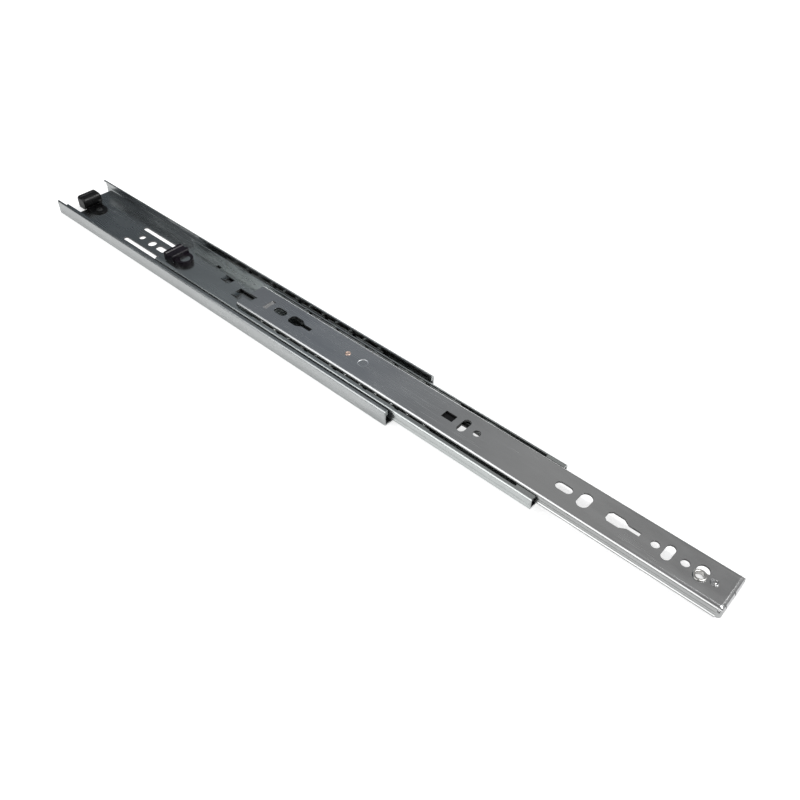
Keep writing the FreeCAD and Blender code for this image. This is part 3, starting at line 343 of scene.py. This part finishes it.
black_acetal = moulded("black_acetal", (0.004, 0.004, 0.0045), 0.3)
plum_acetal = moulded("plum_acetal", (0.007, 0.0045, 0.008), 0.28)
print("plastics:", black_acetal.name, plum_acetal.name)

# %% [markdown]
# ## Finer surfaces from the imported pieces
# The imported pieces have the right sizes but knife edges. Real sheet steel has edges a few tenths of
# a millimetre round, and they catch the light. Modelling them again would risk their sizes, so a
# copy of each piece is merged, its flat faces are joined up again, and a Bevel modifier rounds
# what is left sharp. Mouldings get a wider radius than sheet.

# %% Rounded copies
MERGE_WITHIN = 0.002 * MM
FLAT_WITHIN = math.radians(0.5)
SHARP_FROM = math.radians(40)


def rounded_copy(node, body, finish, radius):
    """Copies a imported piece, merges its triangles and rounds its sharp edges by the radius."""
    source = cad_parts[node]
    work = bmesh.new()
    work.from_mesh(source.data)
    bmesh.ops.remove_doubles(work, verts=work.verts, dist=MERGE_WITHIN)
    bmesh.ops.dissolve_limit(work, angle_limit=FLAT_WITHIN, verts=work.verts, edges=work.edges)
    mesh = bpy.data.meshes.new(node + "_fine")
    work.to_mesh(mesh)
    work.free()
    mesh.materials.clear()
    mesh.materials.append(finish)
    mesh.shade_smooth()
    piece = bpy.data.objects.new(node + "_fine", mesh)
    bpy.context.scene.collection.objects.link(piece)
    bevel = piece.modifiers.new("edges", "BEVEL")
    bevel.width = radius
    bevel.segments = 2
    bevel.limit_method = "ANGLE"
    bevel.angle_limit = SHARP_FROM
    bevel.use_clamp_overlap = True
    flats = piece.modifiers.new("flats", "WEIGHTED_NORMAL")
    flats.mode = "FACE_AREA"
    flats.weight = 100
    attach(piece, body)
    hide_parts(node)
    print(piece.name, len(mesh.polygons), "faces before its edges are rounded")


# %% Steel sheet and mouldings
ROUNDED_PIECES = [
    ("outer_member", "outer", "outer_steel", outer_zinc, 0.2),
    ("intermediate_member", "intermediate", "middle_steel", middle_zinc, 0.2),
    ("inner_member", "inner", "inner_steel", inner_zinc, 0.28),
    ("outer_ball_cage", "outer_cage", "cage_steel", cage_zinc, 0.08),
    ("inner_ball_cage", "inner_cage", "cage_steel", cage_zinc, 0.08),
    ("adjuster_plate", "adjuster", "plated_steel", plated_bright, 0.08),
    ("rear_bumper", "outer", "black_plastic", black_acetal, 0.5),
    ("intermediate_bumper", "intermediate", "black_plastic", plum_acetal, 0.4),
    ("release_lever", "lever", "black_plastic", black_acetal, 0.3),
]
for node, body, slot, finish, radius in ROUNDED_PIECES:
    rounded_copy(node, body, finish, radius * MM)

# %% [markdown]
# ## A surface turned about an axis
# Rivets, eyelets and balls are all round about an upright axis, so one function makes them. Half a
# section, carried around the axis in equal steps, is a grid of two parameters: the place along the
# section and the turn. The Screw modifier could carry it round too, but it leaves a seam to merge.
# A section that begins and ends on the axis would give rings of no size there, so each of those two
# points becomes one pole instead. The eyelet's section is a closed loop and needs no poles.

# %% Turned surface
def turned_surface(section, around):
    """Points, quads and pole triangles of a section of (radius, height), turned about Z.

    At the turn a, a point of the section lies at (radius times cos a, radius times sin a, height).
    The section runs so that the outside is on its right, which makes the faces point outwards.
    """
    poles = section[0, 0] == 0
    radius, height = (section[1:-1] if poles else section).T[:, :, None]
    turn = np.linspace(0, 2 * np.pi, around, endpoint=False)
    heights = np.repeat(height, around, axis=1)
    points = np.stack([radius * np.cos(turn), radius * np.sin(turn), heights], -1).reshape(-1, 3)
    here = np.arange(len(points)).reshape(-1, around)
    above = np.roll(here, -1, axis=0)
    beside, opposite = np.roll(here, -1, axis=1), np.roll(above, -1, axis=1)
    quads = np.stack([here, beside, opposite, above], -1)
    if not poles:
        return points, quads.reshape(-1, 4), np.empty((0, 3), int)
    foot, top = np.full(around, len(points)), np.full(around, len(points) + 1)
    points = np.concatenate([points, [(0, 0, section[0, 1]), (0, 0, section[-1, 1])]])
    fans = [
        np.stack([foot, beside[0], here[0]], -1),
        np.stack([here[-1], beside[-1], top], -1),
    ]
    return points, quads[:-1].reshape(-1, 4), np.concatenate(fans)


# %% [markdown]
# ## Rivets and eyelet
# A solid rivet has a flat head below, a shank, and a head formed above with a dimple left by the
# punch. An eyelet is a tube with a flange at each end, the upper one rolled over. Their sections
# are short lists of (radius, height) in mm, written from the foot up, with the rounding of the
# heads already in them, so no modifier is needed.

# %% Rivets and eyelet
def turned(node, body, finish, section, around=64):
    """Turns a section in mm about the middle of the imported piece's box, from the box's foot up."""
    low, high = (np.array(corner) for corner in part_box(node))
    foot = np.array([(low[0] + high[0]) / 2, (low[1] + high[1]) / 2, low[2]])
    points, quads, fans = turned_surface(np.array(section) * MM, around)
    faces = quads.tolist() + fans.tolist()
    mesh = bpy.data.meshes.new(node + "_turned")
    mesh.from_pydata((foot + points).tolist(), [], faces)
    mesh.materials.append(finish)
    mesh.shade_smooth()
    mesh.set_sharp_from_angle(angle=math.radians(50))
    piece = bpy.data.objects.new(node + "_turned", mesh)
    bpy.context.scene.collection.objects.link(piece)
    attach(piece, body)
    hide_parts(node)
    print(piece.name, len(faces), "faces")


turned("lever_rivet", "inner", copper_plate, [
    (0, 0), (2.9, 0), (3.2, 0.25), (3.2, 0.7), (1.45, 0.7), (1.45, 5.2), (1.95, 5.2), (1.95, 5.35),
    (1.85, 5.48), (1.6, 5.55), (1.3, 5.5), (1.15, 5.28), (0.9, 5.28), (0.75, 5.46), (0.4, 5.42),
    (0, 5.3),
])
turned("adjuster_rivet", "inner", inner_zinc, [
    (0, 0), (2.6, 0), (2.8, 0.2), (2.8, 0.6), (1.6, 0.6), (1.6, 2.8), (2.3, 2.8), (2.3, 2.95),
    (2.2, 3.08), (1.95, 3.15), (1.65, 3.12), (1.5, 2.9), (1.25, 2.9), (1.1, 3.08), (0.6, 3.12),
    (0, 3.13),
])
turned("adjuster_eyelet", "adjuster", plated_bright, [
    (2.2, 0.3), (2.45, 0), (3.9, 0), (3.9, 0.3), (3.1, 0.3), (3.1, 2.45), (3.6, 2.45), (3.6, 2.7),
    (3.45, 2.87), (3.1, 2.95), (2.6, 2.95), (2.32, 2.84), (2.2, 2.6),
])

# %% [markdown]
# ## Balls
# A ball is half a circle turned about its upright middle line. A sphere object for each ball would
# make 48 objects. Every ball of a row is the same and moves with its cage, so one is worked out and
# its points are shifted to each ball's centre in a single sum.

# %% Ball rows
BALL_RADIUS = 2.0 * MM
BALLS_IN_ROW = 12
STEPS_AROUND = 24
STEPS_UP = 12


def ball_row(node, body):
    """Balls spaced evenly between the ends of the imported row's box.

    The half circle's points are (radius times sin v, minus radius times cos v), v from 0 to pi.
    """
    low, high = (np.array(corner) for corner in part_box(node))
    reach = (high[0] - low[0]) / 2 - (high[2] - low[2]) / 2
    centres = np.tile((low + high) / 2, (BALLS_IN_ROW, 1))
    centres[:, 0] += np.linspace(-reach, reach, BALLS_IN_ROW)
    v = np.linspace(0, np.pi, STEPS_UP + 1)
    half_circle = BALL_RADIUS * np.stack([np.sin(v), -np.cos(v)], -1)
    ball, quads, fans = turned_surface(half_circle, STEPS_AROUND)
    points = (centres[:, None] + ball).reshape(-1, 3)
    shift = np.arange(BALLS_IN_ROW)[:, None, None] * len(ball)
    faces = (quads + shift).reshape(-1, 4).tolist() + (fans + shift).reshape(-1, 3).tolist()
    mesh = bpy.data.meshes.new(node + "_round")
    mesh.from_pydata(points.tolist(), [], faces)
    mesh.materials.append(ball_finish)
    mesh.shade_smooth()
    piece = bpy.data.objects.new(node + "_round", mesh)
    bpy.context.scene.collection.objects.link(piece)
    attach(piece, body)
    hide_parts(node)
    print(piece.name, len(faces), "faces")


for stage in ("outer", "inner"):
    for hand in ("left", "right"):
        ball_row(f"{stage}_balls_{hand}", stage + "_cage")

# %% [markdown]
# ## Table
# The table is pale and keeps the slide's shadow. The lamps alone would leave it grey, and stronger
# lamps would bleach the steel. The Light Path node tells which rays ask for its colour: it glows
# just enough to reach white for the camera, and about half as much for rays that steel reflects.

# %% Table
GLOW_TO_CAMERA = 0.66
GLOW_IN_REFLECTIONS = 0.34


def table_finish():
    """Pale matt surface that glows for camera and gloss rays only, so that shadows stay."""
    material, tree, shader, _ = new_material("table")
    shader.inputs["Base Color"].default_value = (0.9, 0.9, 0.9, 1)
    shader.inputs["Roughness"].default_value = 0.9
    shader.inputs["Specular IOR Level"].default_value = 0.1
    shader.inputs["Emission Color"].default_value = (1, 1, 1, 1)
    rays = add(tree, "LightPath").outputs
    gloss = calculate(tree, "MULTIPLY", rays["Is Glossy Ray"], GLOW_IN_REFLECTIONS)
    glow = calculate(tree, "MULTIPLY_ADD", rays["Is Camera Ray"], GLOW_TO_CAMERA, gloss)
    tree.links.new(glow, shader.inputs["Emission Strength"])
    return material


bpy.ops.mesh.primitive_plane_add(size=12, location=(0, 0, cad_bounds[0][2] - 0.05 * MM))
table = bpy.context.object
table.name = "table"
table.data.materials.append(table_finish())
print("table top at", round(table.location.z / MM, 3), "mm")

# %% [markdown]
# ## Surroundings
# Bare metal has hardly any colour of its own: it shows what surrounds it. A plain white world would
# make every web the same flat grey. Here the world's brightness changes along X, as in a room with
# a dark wall behind the slide's rear end and light ones ahead, and is a quarter dimmer near the
# table than above. Each web then mirrors its own stretch of the room. The camera itself sees white.

# %% World
world = bpy.data.worlds.new("studio")
bpy.context.scene.world = world
world.use_nodes = True
tree = world.node_tree
tree.nodes.clear()
direction = add(tree, "SeparateXYZ", Vector=add(tree, "TexCoord").outputs["Generated"]).outputs
along = add(tree, "MapRange", Value=direction[0], From_Min=-1.0, From_Max=1.0)
wall = ramp(
    tree,
    along.outputs[0],
    [
        (0.09, (0.050, 0.062, 0.075)),
        (0.11, (0.095, 0.115, 0.13)),
        (0.14, (0.17, 0.185, 0.195)),
        (0.18, (0.24, 0.25, 0.265)),
        (0.21, (0.18, 0.21, 0.245)),
        (0.29, (0.29, 0.295, 0.30)),
        (0.36, (0.42, 0.42, 0.415)),
        (0.43, (0.25, 0.25, 0.25)),
        (0.60, (0.20, 0.20, 0.20)),
        (0.80, (0.50, 0.50, 0.50)),
    ],
)
height = ramp(tree, direction[2], [(0.0, 0.75), (0.4, 0.75), (0.5, 1.0)])
room = mixed(tree, 1.0, wall, height, "MULTIPLY")
seen = mixed(tree, add(tree, "LightPath").outputs["Is Camera Ray"], room, (1, 1, 1))
background = add(tree, "Background", Color=seen, Strength=1.0)
tree.links.new(background.outputs[0], add(tree, "OutputWorld").inputs[0])
print("world:", world.name, len(tree.nodes), "nodes")

# %% [markdown]
# ## Lamps
# Three lamps light the slide. The key stands on its near side and brightens the flanks there, the
# rim lies low on the far side and draws the far lips, and the top lamp hangs over the front end.
# Small lamps would leave hard streaks on bare metal, so all three are wide.

# %% Lamps
def lamp(name, place, aim, size, power, across=None):
    """A soft rectangular lamp at a place, turned to face the aim."""
    data = bpy.data.lights.new(name, "AREA")
    data.shape = "RECTANGLE"
    data.size = size
    data.size_y = across or size
    data.energy = power
    item = bpy.data.objects.new(name, data)
    item.location = place
    item.rotation_euler = (Vector(aim) - Vector(place)).to_track_quat("-Z", "Y").to_euler()
    bpy.context.scene.collection.objects.link(item)
    print(name, "lamp:", power, "W")


lamp("key", (-0.35, -1.5, 0.9), (0.1, 0, 0), 1.8, 12, 1.2)
lamp("rim", (-1.05, 1.6, 0.28), (0, 0, 0), 1.1, 2.2, 0.3)
lamp("top", (0.9, 0.7, 1.9), (0.1, 0, 0), 0.8, 18)

# %% [markdown]
# ## Camera
# The camera stands past the slide's front end, on its near side, and looks back and down along it.
# A constraint that aims it at a target couldn't give it its slight roll, so it is turned by three
# angles in degrees. A camera that isn't turned looks straight down with +Y at its top. It is rolled
# about its own line of sight first, then tilted up about X, and last turned about Z to its heading.

# %% Camera
HEADING, TILT, ROLL = 41.132, 46.221, 1.132

camera_data = bpy.data.cameras.new("camera")
camera_data.lens = 36.92
camera_data.sensor_width = 36
camera_data.clip_start = 0.01
camera = bpy.data.objects.new("camera", camera_data)
place = Matrix.Translation((0.40558, -0.27300, 0.34828))
turns = [
    Matrix.Rotation(math.radians(angle), 4, axis)
    for angle, axis in ((HEADING, "Z"), (TILT, "X"), (ROLL, "Z"))
]
camera.matrix_world = place @ turns[0] @ turns[1] @ turns[2]
bpy.context.scene.collection.objects.link(camera)
bpy.context.scene.camera = camera
bpy.context.scene.view_settings.view_transform = "Standard"
print("camera at", [round(value, 3) for value in camera.matrix_world.translation])
